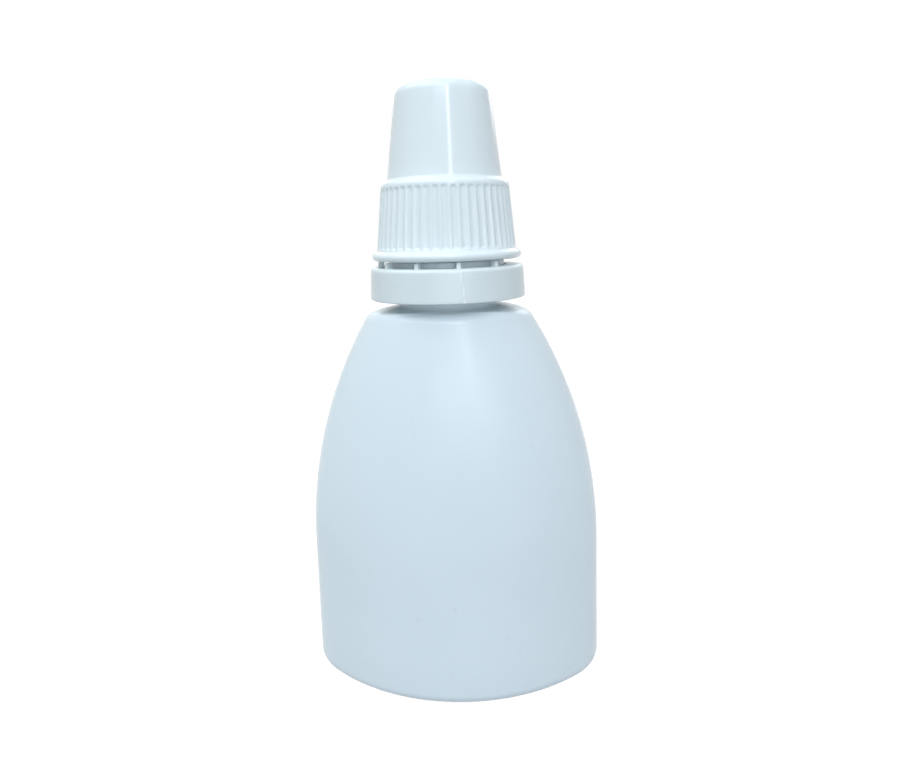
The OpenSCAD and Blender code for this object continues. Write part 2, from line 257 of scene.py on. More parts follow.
@dataclass(frozen=True)
class Plastic:
    """A moulded plastic, with a cloudy colour and a fine grain from its mould.

    The clouds drift from one colour to the other between the noise's two values in cloud_range, and
    the grain is drawn out upwards. A share of the cells has a speck, which fades out between the
    two distances in speck_range, counted in cells. The line is the mesh's attribute that says where
    a mould line runs, if it has one. Along it the colour is whitened to a near white as a painted
    highlight, and the roughness drops to line_roughness as real gloss.
    """

    name: str
    colour: Colour
    cloud: Colour
    roughness: float
    cloud_size: float = 9.0
    cloud_range: Point = (0.32, 0.62)
    grain: float = 0.35
    grain_depth: float = 0.004
    grain_draw: float = 1.0
    glow: float = 0.1
    glow_depth: float = 0.8
    specks: float = 0.0
    speck_cell: float = 1.8
    speck_range: Point = (0.03, 0.09)
    speck_strength: float = 0.3
    speck_colour: Colour = (0.52, 0.58, 0.6)
    line: str = ""
    # Near white that paints a highlight along the mould line.
    line_highlight_colour: Colour = (0.98, 0.99, 1.0)
    line_roughness: float = 0.12

    def material(self) -> bpy.types.Material:
        """Builds the material.

        Returns:
            The material, on Object coordinates.
        """
        made = bpy.data.materials.new(self.name)
        graph = Graph(made)
        colour, roughness = self._clouds(graph), self.roughness
        if self.specks:
            colour = self._speckled(graph, colour)
        if self.line:
            # Painted highlight: the colour is whitened along the mould line, and the lower
            # roughness there is real gloss.
            mark = graph.add("ShaderNodeAttribute", {}, attribute_name=self.line)["Fac"]
            colour = graph.blend(mark, colour, self.line_highlight_colour)
            feeds = {"Value": mark, "To Min": self.roughness, "To Max": self.line_roughness}
            roughness = graph.add("ShaderNodeMapRange", feeds)["Result"]
        graph.feed(graph.tree.nodes["Principled BSDF"], {
            "Base Color": colour,
            "Roughness": roughness,
            "IOR": 1.5,
            "Subsurface Weight": self.glow,
            "Subsurface Scale": self.glow_depth * MM,
            "Subsurface Radius": (1.0, 1.0, 1.0),
            "Normal": self._grain(graph),
        })
        return made

    def _clouds(self, graph: Graph) -> Socket:
        """Colour that drifts slowly over the piece.

        Args:
            graph: The material's nodes.

        Returns:
            The colour.
        """
        noise = graph.add("ShaderNodeTexNoise", {
            "Vector": graph.place(),
            "Scale": 1 / (self.cloud_size * MM),
            "Detail": 3.0,
            "Roughness": 0.55,
        })
        ramp = graph.add("ShaderNodeValToRGB", {"Fac": noise["Fac"]})["Color"]
        for index, colour in enumerate((self.cloud, self.colour)):
            stop = ramp.node.color_ramp.elements[index]
            stop.position, stop.color = self.cloud_range[index], (*colour, 1.0)
        return ramp

    def _speckled(self, graph: Graph, colour: Socket) -> Socket:
        """Adds a few faint dark specks in the plastic.

        Args:
            graph: The material's nodes.
            colour: The colour that they lie in.

        Returns:
            The colour with the specks.
        """
        scale = 1 / (self.speck_cell * MM)
        cells = graph.add("ShaderNodeTexVoronoi", {"Vector": graph.place(), "Scale": scale})
        near = graph.add("ShaderNodeMapRange", {
            "Value": cells["Distance"],
            "From Min": self.speck_range[0],
            "From Max": self.speck_range[1],
            "To Min": self.speck_strength,
            "To Max": 0.0,
        })
        parts = graph.add("ShaderNodeSeparateColor", {"Color": cells["Color"]})
        chosen = graph.reckon("LESS_THAN", parts["Red"], self.specks)
        share = graph.reckon("MULTIPLY", near["Result"], chosen)
        return graph.blend(share, colour, self.speck_colour)

    def _grain(self, graph: Graph) -> Socket:
        """Fine relief from the mould, drawn out upwards.

        Args:
            graph: The material's nodes.

        Returns:
            The normal.
        """
        draw = {"Vector": graph.place(), "Scale": (1.0, 1.0, 1 / self.grain_draw)}
        noise = graph.add("ShaderNodeTexNoise", {
            "Vector": graph.add("ShaderNodeMapping", draw)["Vector"],
            "Scale": 1 / (self.grain * MM),
            "Detail": 2.0,
        })
        return graph.add("ShaderNodeBump", {
            "Height": noise["Fac"],
            "Strength": 1.0,
            "Distance": self.grain_depth * MM,
        })["Normal"]


BOTTLE_PLASTIC = Plastic(
    name="satin_squeeze_plastic",
    colour=(0.815, 0.895, 0.94),
    cloud=(0.8, 0.88, 0.925),
    roughness=0.27,
    grain_depth=0.006,
    grain_draw=3.0,
    glow=0.15,
    specks=0.35,
)
TIP_PLASTIC = Plastic(
    name="soft_tip_plastic",
    colour=(0.9, 0.93, 0.93),
    cloud=(0.885, 0.915, 0.92),
    roughness=0.38,
    glow=0.3,
)
CAP_PLASTIC = Plastic(
    name="glossy_cap_plastic",
    colour=(0.875, 0.955, 0.98),
    cloud=(0.86, 0.94, 0.965),
    roughness=0.16,
    grain=0.8,
    grain_depth=0.002,
    glow=0.45,
)
RING_PLASTIC = Plastic(
    name="satin_ring_plastic",
    colour=(0.815, 0.88, 0.885),
    cloud=(0.8, 0.865, 0.875),
    roughness=0.26,
    grain=0.5,
    # The mould line gets a painted highlight: its colour is whitened, and its roughness drops.
    line="mould_line",
)


@dataclass(frozen=True)
class Thread:
    """A screw thread, which rises to the right round the axis.

    Its ridge begins at turn 0, with its middle at the low height. Half the ridge's width is given
    at its crest and at its foot on the wall, and each end runs out over a part of a turn.
    """

    low: float
    pitch: float = 2.1
    turns: float = 1.5
    half_crest: float = 0.3
    half_foot: float = 0.55
    run_out: float = pi / 4

    @property
    def bottom(self) -> float:
        """Height below which the wall is plain."""
        return self.low - self.half_foot

    def rise(self, turn: float, height: float) -> float:
        """How far the ridge stands up at a place on the wall.

        Args:
            turn: Turn of the place.
            height: Height of the place.

        Returns:
            A share of the ridge's height, from 0 to 1.
        """
        best = 0.0
        for lap in range(ceil(self.turns)):
            along = turn % FULL_TURN + lap * FULL_TURN
            to_end = min(along, self.turns * FULL_TURN - along)
            if to_end < 0:
                continue
            off = abs(height - self.low - self.pitch * along / FULL_TURN)
            flank = ease((self.half_foot - off) / (self.half_foot - self.half_crest))
            best = max(best, flank * ease(to_end / self.run_out))
        return best

    def rows(self, wall: float, depth: float, low: float, steps: int) -> list[Row]:
        """Rows of a round wall with the ridge, up to the thread's top.

        Args:
            wall: Radius of the wall.
            depth: How far the ridge stands out from the axis, less than 0 in a bore.
            low: Height of the first row.
            steps: Number of stretches.

        Returns:
            The rows.
        """
        top = self.low + self.pitch * self.turns + self.half_foot

        def threaded(height: float) -> Row:
            """A row at a height."""
            return lambda turn: round_row(wall + depth * self.rise(turn, height), height)(turn)

        return [threaded(low + (top - low) * i / steps) for i in range(steps + 1)]


@dataclass
class Piece:
    """One moulding, which builds its own mesh.

    It stands for a node of the frame, rides on a body and wears its finish; its slot is stored but
    not used.
    An edge stays crisp where its faces turn by more than crisp_degrees.
    """

    name: str
    node: str
    body: Body
    slot: Slot
    finish: Plastic
    crisp_degrees: float = 38

    def mesh_object(self) -> bpy.types.Object:
        """Builds the piece's mesh, in place."""
        raise NotImplementedError

    def as_object(self, mesh: bmesh.types.BMesh) -> bpy.types.Object:
        """Closes the mesh's poles, turns its faces outwards and makes a smooth object of it.

        Args:
            mesh: The mesh, which is freed.

        Returns:
            The object, at the origin.
        """
        bmesh.ops.remove_doubles(mesh, verts=mesh.verts, dist=MERGE_WITHIN * MM)
        bmesh.ops.recalc_face_normals(mesh, faces=mesh.faces)
        for face in mesh.faces:
            face.smooth = True
        data = bpy.data.meshes.new(self.name)
        mesh.to_mesh(data)
        mesh.free()
        data.set_sharp_from_angle(angle=radians(self.crisp_degrees))
        return in_scene(self.name, data)

    def build(self) -> None:
        """Builds the piece, dresses it and sets it on its body."""
        piece = self.mesh_object()
        piece.data.materials.append(self.finish.material())
        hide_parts(self.node)
        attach(piece, self.body.value)
        LOG.info("%s: %d faces on %s", self.name, len(piece.data.polygons), self.body.value)


@dataclass
class Bottle(Piece):
    """The oval bottle with its shoulder, neck, collar and thread."""

    crisp_degrees: float = 50
    side_radius: float = 6.3
    upright_height: float = 15.0
    shoulder_width: float = 18.4
    shoulder_depth: float = 14.7
    shoulder_height: float = 42.65
    shoulder_slope: float = radians(11)
    shoulder_round: float = 1.6
    base_round: float = 1.2
    base_hollow: float = 0.4
    rim_width: float = 1.6
    wall: float = 0.9
    floor_wall: float = 1.3
    neck_radius: float = 5.7
    neck_root: float = 0.4
    bore_radius: float = 4.4
    thread_depth: float = 0.8
    thread_land: float = 1.478
    collar_low: float = 45.0
    collar_high: float = 47.9
    edge: float = 0.16
    roundest: float = 0.97
    seam_height: float = 0.035
    seam_width: float = 0.11
    seam_columns: tuple[float, ...] = (0.008, 0.016, 0.026)
    hollow_shares: tuple[float, ...] = (0.0, 0.2, 0.45, 0.7, 0.9)
    hollow_flank: tuple[Point, ...] = ((1.0, -0.1), (0.85, 0.105), (0.15, 0.28), (0.0, 0.42))
    columns: int = 160
    upright_steps: int = 4
    bell_steps: int = 26
    round_steps: int = 10
    slope_steps: int = 6
    inner_slope_steps: int = 3
    thread_steps: int = 44

    def __post_init__(self) -> None:
        """Reads the width, depth and height from the frame."""
        low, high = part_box(self.node)
        self.half_width = (high.x - low.x) / 2 / MM - self.seam_height
        self.half_depth = (high.y - low.y) / 2 / MM
        self.neck_top = high.z / MM

    def thread(self) -> Thread:
        """The thread on the neck."""
        plain = Thread(low=0.0)
        return Thread(low=self.neck_top - self.thread_land - plain.pitch * plain.turns)

    def turns(self) -> list[float]:
        """Turns of the columns, closer together at the seams of the mould.

        Returns:
            The turns in order.
        """
        gaps = [sign * gap for gap in self.seam_columns for sign in (-1, 1)]
        seams = [side + gap for side in (0.0, pi) for gap in gaps]
        return sorted({round(turn % FULL_TURN, 6) for turn in even_turns(self.columns) + seams})

    def oval(self, half_width: float, half_depth: float, radius: float, turn: float) -> Point:
        """Point of the body's section, whose outward normal points along a turn.

        Args:
            half_width: Half the section's width.
            half_depth: Half its depth.
            radius: Radius of its rounded sides.
            turn: Direction of the normal.

        Returns:
            The point, as x and y.
        """
        reach = half_width - radius
        wide = (half_depth**2 - radius**2 + reach**2) / (2 * (half_depth - radius))
        meet = atan2(wide - half_depth, reach)
        cosine, sine = cos(turn), sin(turn)
        if atan2(abs(sine), abs(cosine)) < meet:
            x, y = reach + radius * abs(cosine), radius * abs(sine)
        else:
            x, y = wide * abs(cosine), wide * abs(sine) - (wide - half_depth)
        return copysign(x, cosine), copysign(y, sine)

    def outline(self, half: float, edge: float, inset: float, low: float) -> list[Point]:
        """Outline of the body's wall, from the standing rim to the end of the shoulder's rounding.

        Args:
            half: Half the body's width or depth.
            edge: Half the shoulder's width or depth.
            inset: Distance inwards from the outer wall.
            low: Height of the outline's lowest point.

        Returns:
            The points, as distance from the axis and height.
        """
        run = tan(self.shoulder_slope)
        drop = half - edge
        rise = self.shoulder_height - run * (edge - self.neck_radius) - self.upright_height
        curve = (rise**2 + drop**2) / (2 * drop)
        bell_x = half - curve
        # The rounding's centre is one radius in from the bell's curve and one down from the slope.
        line = (self.shoulder_height - self.shoulder_round / cos(self.shoulder_slope)
                + run * self.neck_radius - self.upright_height)
        along = bell_x + run * line
        spare = bell_x**2 + line**2 - (curve - self.shoulder_round) ** 2
        edge_x = (along + sqrt(along**2 - (1 + run**2) * spare)) / (1 + run**2)
        edge_z = self.upright_height + line - run * edge_x
        turn = degrees(atan2(edge_z - self.upright_height, edge_x - bell_x))
        last = 90 - degrees(self.shoulder_slope)
        base = arc((half - inset - self.base_round, low + self.base_round), self.base_round, -90, 0,
                   self.round_steps)
        upright = between(base[-1], (half - inset, self.upright_height), self.upright_steps)
        bell = arc((bell_x, self.upright_height), curve - inset, 0, turn, self.bell_steps)
        corner = arc((edge_x, edge_z), self.shoulder_round - inset, turn, last, self.round_steps)
        return base + upright + bell + corner[1:]

    def body_rows(self, inset: float, low: float, seam: float) -> list[Row]:
        """Rows of the body's wall, along its outline.

        Args:
            inset: Distance inwards from the outer wall.
            low: Height of the lowest row.
            seam: Height of the mould's seams on the two sides.

        Returns:
            The rows.
        """
        def body_row(side: Point, face: Point) -> Row:
            """A row through a point of the side's outline and one of the front's."""
            held = min(self.side_radius - inset, self.roundest * face[0])

            def row(turn: float) -> Vector:
                """Place of a column in this row."""
                x, y = self.oval(side[0], face[0], held, turn)
                height = side[1] + (face[1] - side[1]) * sin(turn) ** 2
                off = min(abs(signed_turn(turn)), abs(signed_turn(turn - pi))) * held
                return Vector((x + copysign(seam * bump_of(off, self.seam_width), x), y, height))
            return row

        sides = self.outline(self.half_width, self.shoulder_width / 2, inset, low)
        faces = self.outline(self.half_depth, self.shoulder_depth / 2, inset, low)
        return [body_row(*points) for points in zip(sides, faces)]

    def base_rows(self) -> list[Row]:
        """Rows of the hollow under the base, from its middle out to the standing rim.

        Returns:
            The rows.
        """
        inner = self.base_round + self.rim_width
        half_width, half_depth = self.half_width - inner, self.half_depth - inner
        radius = min(self.side_radius, half_depth) - inner / 2

        def hollow(share: float, height: float, out: float) -> Row:
            """A row of the hollow, at a share of its size and a distance outside it."""
            def row(turn: float) -> Vector:
                """Place of a column in this row."""
                x, y = self.oval(half_width + out, half_depth + out, radius + out, turn)
                return Vector((x * share, y * share, height))
            return row

        flat = [hollow(share, self.base_hollow, 0.0) for share in self.hollow_shares]
        return flat + [hollow(1.0, self.base_hollow * up, out) for up, out in self.hollow_flank]

    def neck_rows(self) -> list[Row]:
        """Rows of the outer neck, from its root on the shoulder to its top edge.

        Returns:
            The rows.
        """
        r, crest, e = self.neck_radius, self.neck_radius + self.thread_depth, self.edge
        root = arc((r + self.neck_root, self.shoulder_height + self.neck_root), self.neck_root,
                   250, 180, 5)
        collar = (
            [(r, self.collar_low - e)]
            + arc((r + e, self.collar_low - e), e, 180, 90, 3)[1:]
            + arc((crest - e, self.collar_low + e), e, -90, 0, 4)
            + arc((crest - e, self.collar_high - e), e, 0, 90, 4)
            + arc((r + e, self.collar_high + e), e, 270, 180, 3)
        )
        top = arc((r - e, self.neck_top - e), e, 0, 90, 4)
        thread = self.thread()
        ridge = thread.rows(r, self.thread_depth, thread.bottom, self.thread_steps)
        return round_rows(root + collar) + ridge + round_rows(top)

    def mesh_object(self) -> bpy.types.Object:
        """Draws one skin from the base over the outside and down the inside to the floor.

        Returns:
            The object.
        """
        outer = self.body_rows(0.0, 0.0, self.seam_height)
        neck = self.neck_rows()
        lip = arc((self.bore_radius + self.edge, self.neck_top - self.edge), self.edge, 90, 180, 3)
        root = round_row(self.bore_radius, self.shoulder_height - 2 * self.wall)
        inner = self.body_rows(self.wall, self.floor_wall, 0.0)
        skin = Skin()
        skin.draw(self.turns(), self.base_rows() + outer)
        skin.add(rows_between(outer[-1], neck[0], self.slope_steps))
        skin.add(neck + round_rows(lip) + [root])
        skin.add(rows_between(root, inner[-1], self.inner_slope_steps))
        skin.add(inner[::-1] + [round_row(0.0, self.floor_wall)])
        return self.as_object(skin.mesh)


@dataclass
class DropperTip(Piece):
    """The tip that is pressed into the neck: plug, rim, nozzle, fine channel and drop well."""

    crisp_degrees: float = 40
    plug_radius: float = 4.44
    plug_length: float = 5.2
    plug_wall: float = 0.95
    plug_bevel: float = 0.5
    rim_radius: float = 5.6
    rim_height: float = 0.9
    nozzle_foot: float = 3.6
    nozzle_end: float = 1.7
    nozzle_round: float = 0.3
    nozzle_wall: float = 0.9
    nozzle_fillet: float = 0.35
    channel_radius: float = 0.3
    channel_length: float = 2.6
    well_radius: float = 0.85
    well_depth: float = 1.1
    edge: float = 0.12
    steps: int = 96

    def outline(self) -> list[Point]:
        """Closed outline of the tip's wall, from the plug's end up the outside and back inside.

        Returns:
            The points, as distance from the axis and height.
        """
        low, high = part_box(self.node)
        plug_low, top = low.z / MM, high.z / MM
        neck_top = plug_low + self.plug_length
        rim_top = neck_top + self.rim_height
        slope = (self.nozzle_foot - self.nozzle_end) / (top - rim_top)
        tilt = degrees(atan(slope))
        hollow = self.plug_radius - self.plug_wall
        channel_low = top - self.well_depth - self.channel_length
        narrow = self.nozzle_end + slope * (top - channel_low) - self.nozzle_wall
        e, fillet = self.edge, self.nozzle_fillet
        return (
            [(hollow, plug_low), (self.plug_radius - self.plug_bevel / 2, plug_low),
             (self.plug_radius, plug_low + self.plug_bevel), (self.plug_radius, neck_top)]
            + arc((self.rim_radius - e, neck_top + e), e, -90, 0, 3)
            + arc((self.rim_radius - 2 * e, rim_top - 2 * e), 2 * e, 0, 90, 4)
            + arc((self.nozzle_foot + fillet, rim_top + fillet), fillet, 270, 180 - tilt, 4)
            + arc((self.nozzle_end - self.nozzle_round, top - self.nozzle_round),
                  self.nozzle_round, tilt, 90, 5)
            + arc((self.well_radius + e, top - e), e, 90, 180, 3)
            + [(self.well_radius, top - self.well_depth),
               (self.channel_radius, top - self.well_depth), (self.channel_radius, channel_low),
               (narrow, channel_low - (narrow - self.channel_radius)),
               (self.nozzle_foot - self.nozzle_wall, rim_top), (hollow, neck_top)]
        )

    def mesh_object(self) -> bpy.types.Object:
        """Spins the outline round the axis.

        Returns:
            The object.
        """
        mesh = bmesh.new()
        corners = [mesh.verts.new((x * MM, 0.0, z * MM)) for x, z in self.outline()]
        edges = [mesh.edges.new(pair) for pair in zip(corners, corners[1:] + corners[:1])]
        bmesh.ops.spin(mesh, geom=corners + edges, cent=(0, 0, 0), axis=(0, 0, 1), angle=FULL_TURN,
                       steps=self.steps, use_merge=True)
        return self.as_object(mesh)


@dataclass
class ScrewCap(Piece):
    """The cap: tapering top, ribbed skirt, foot flange, and inside the thread, sleeve and pin."""

    neck: Bottle | None = None
    skirt_radius: float = 7.85
    skirt_top_radius: float = 7.2
    skirt_top: float = 56.626
    skirt_round: float = 0.65
    flange_height: float = 0.95
    flange_blend: float = 0.3
    cone_radius: float = 6.43
    cone_draft: float = radians(6)
    cone_round: float = 1.4
    cone_blend: float = 0.35
    crown: float = 0.12
    gate_radius: float = 0.7
    gate_depth: float = 0.08
    gate_edge: float = 0.3
    bore_radius: float = 6.65
    crest_radius: float = 5.85
    mouth_bevel: float = 0.15
    seat_height: float = 55.506
    seat_radius: float = 5.38
    wall: float = 1.05
    ceiling: float = 65.976
    ceiling_bevel: float = 0.6
    ceiling_fillet: float = 0.15
    sleeve_low: float = 62.176
    sleeve_wall: float = 0.7
    sleeve_mouth: float = 2.326
    nozzle_end: float = 1.82
    nozzle_top: float = 64.626
    pin_low: float = 63.646
    pin_radius: float = 0.73
    inner_edge: float = 0.1
    grooves: int = 48
    groove_width: float = 0.8
    groove_depth: float = 0.2
    groove_soften: float = 0.012
    groove_end: float = 0.05
    groove_run_out: float = 0.3
    rib_columns: tuple[float, ...] = (0.0, 0.06, 0.105, 0.15, 0.24, 0.36)
    top_shares: tuple[float, ...] = (0.0, 0.06, 0.12, 0.145, 0.17, 0.2, 0.25, 0.4, 0.6, 0.8)
    arch_step: float = 0.07
    arch_steps: int = 13
    groove_start: float = 1.3
    groove_step: float = 0.62
    groove_steps: int = 9
    foot_gaps: tuple[float, ...] = (0.32, 0.24, 0.18, 0.12, 0.06, 0.0)
    inner_columns: int = 144
    thread_steps: int = 48

    def __post_init__(self) -> None:
        """Reads the height and the flange's reach from the frame."""
        low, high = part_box(self.node)
        self.low, self.high = low.z / MM, high.z / MM
        self.flange_radius = high.x / MM
        self.skirt_low = self.low + self.flange_height + self.flange_blend
        self.cone_low = self.skirt_top + self.cone_blend
        self.edge_top = self.high - self.crown
        self.cone_top_radius = (self.cone_radius
                                - (self.edge_top - self.cone_low) * tan(self.cone_draft))

    def turns(self) -> list[float]:
        """Turns of the outer columns, closer together on the ribs between the grooves.

        Returns:
            The turns in order.
        """
        pitch = FULL_TURN / self.grooves
        shares = sorted({sign * share for share in self.rib_columns for sign in (-1, 1)}) + [0.5]
        return [(i + share) * pitch for i in range(self.grooves) for share in shares]

    def groove(self, turn: float, radius: float, height: float) -> float:
        """Depth of the nearest groove at a place on the skirt.

        Args:
            turn: Turn of the place.
            radius: Radius of the skirt there.
            height: Height of the place.

        Returns:
            The depth.
        """
        pitch = FULL_TURN / self.grooves
        ball = (self.groove_width**2 / 4 + self.groove_depth**2) / (2 * self.groove_depth)
        across = (turn % pitch - pitch / 2) * radius
        above = max(0.0, height - (self.skirt_top - self.skirt_round - ball))
        away = min(ball, hypot(across, above))
        cut = sqrt(ball**2 - away**2) - (ball - self.groove_depth)
        soft = (cut + sqrt(cut**2 + self.groove_soften**2)) / 2
        return soft * ease((height - self.skirt_low + self.groove_end) / self.groove_run_out)

    def top_rows(self) -> list[Row]:
        """Rows from the middle of the top down to the shoulder of the skirt.

        Returns:
            The rows.
        """
        centre = (self.cone_top_radius - self.cone_round, self.edge_top - self.cone_round)
        flat = centre[0]

        def dome(radius: float) -> Point:
            """Point of the slightly domed top."""
            gate = (radius - self.gate_radius + self.gate_edge / 2) / self.gate_edge
            dip = self.gate_depth * (1 - ease(gate))
            return radius, self.high - self.crown * (radius / flat) ** 2 - dip

        top = [dome(flat * share) for share in self.top_shares]
        edge = arc(centre, self.cone_round, 88, degrees(self.cone_draft), 12)
        foot = (self.cone_radius, self.cone_low)
        blend = arc((foot[0] + self.cone_blend, foot[1]), self.cone_blend, 180, 240, 5)
        return round_rows(top + edge + between(edge[-1], foot, 8) + blend)

    def skirt_rows(self) -> list[Row]:
        """Rows of the skirt from its shoulder down to the flange.

        Returns:
            The rows.
        """
        slope = (self.skirt_radius - self.skirt_top_radius) / (
            self.skirt_top - self.skirt_round - self.skirt_low)
        centre = (self.skirt_top_radius - self.skirt_round, self.skirt_top - self.skirt_round)
        shoulder = arc(centre, self.skirt_round, 82, degrees(atan(slope)), 9)
        arch = [self.arch_step * i for i in range(1, self.arch_steps + 1)]
        upright = [self.groove_start + self.groove_step * i for i in range(self.groove_steps)]
        length = shoulder[-1][1] - self.skirt_low
        foot = [length - gap for gap in self.foot_gaps]
        drops = arch + [drop for drop in upright if drop < foot[0]] + foot
        points = [(shoulder[-1][0] + slope * drop, shoulder[-1][1] - drop) for drop in drops]

        def grooved(radius: float, height: float) -> Row:
            """A row of the skirt, with its grooves."""
            return lambda turn: round_row(radius - self.groove(turn, radius, height), height)(turn)

        return [grooved(*point) for point in shoulder + points]

    def flange_rows(self) -> list[Row]:
        """Rows of the hollow above the flange and of the flange, round to the cap's foot.

        Returns:
            The rows.
        """
        half = self.flange_height / 2
        blend = arc((self.skirt_radius + self.flange_blend, self.skirt_low), self.flange_blend,
                    180, 240, 5)[1:]
        flange = arc((self.flange_radius - half, self.low + half), half, 60, -90, 16)
        return round_rows(blend + flange)

    def inner_rows(self) -> list[Row]:
        """Rows of the inside, from the mouth up to the ceiling and down to the pin's end.

        Returns:
            The rows.
        """
        thread = Thread(low=self.neck.thread().low - self.neck.thread().pitch / 2)
        ridge = self.bore_radius - self.crest_radius
        mouth = [(self.bore_radius + self.mouth_bevel, self.low),
                 (self.bore_radius, self.low + 2 * self.mouth_bevel)]
        low = max(thread.bottom, self.low + 3 * self.mouth_bevel)
        bore = thread.rows(self.bore_radius, -ridge, low, self.thread_steps)
        ceiling_radius = self.cone_top_radius - self.wall
        sleeve_radius = self.sleeve_mouth + self.sleeve_wall
        e, fillet = self.inner_edge, self.ceiling_fillet
        points = [
            (self.bore_radius, self.neck.neck_top - ridge), (self.crest_radius, self.neck.neck_top),
            (self.crest_radius, self.seat_height), (self.seat_radius, self.seat_height),
            (ceiling_radius, self.ceiling - self.ceiling_bevel),
            (ceiling_radius - self.ceiling_bevel, self.ceiling),
            (sleeve_radius + fillet, self.ceiling), (sleeve_radius, self.ceiling - fillet),
            (sleeve_radius, self.sleeve_low + e), (sleeve_radius - e, self.sleeve_low),
            (self.sleeve_mouth, self.sleeve_low), (self.nozzle_end, self.nozzle_top),
            (self.nozzle_end, self.ceiling), (self.pin_radius + e, self.ceiling),
            (self.pin_radius, self.ceiling - e), (self.pin_radius, self.pin_low + e),
            (self.pin_radius - e, self.pin_low), (0.0, self.pin_low),
        ]
        return round_rows(mouth) + bore + round_rows(points)

    def mesh_object(self) -> bpy.types.Object:
        """Draws one skin from the middle of the top round the foot to the end of the pin.

        Returns:
            The object.
        """
        skin = Skin()
        skin.draw(self.turns(), self.top_rows() + self.skirt_rows() + self.flange_rows())
        skin.draw(even_turns(self.inner_columns), self.inner_rows())
        return self.as_object(skin.mesh)


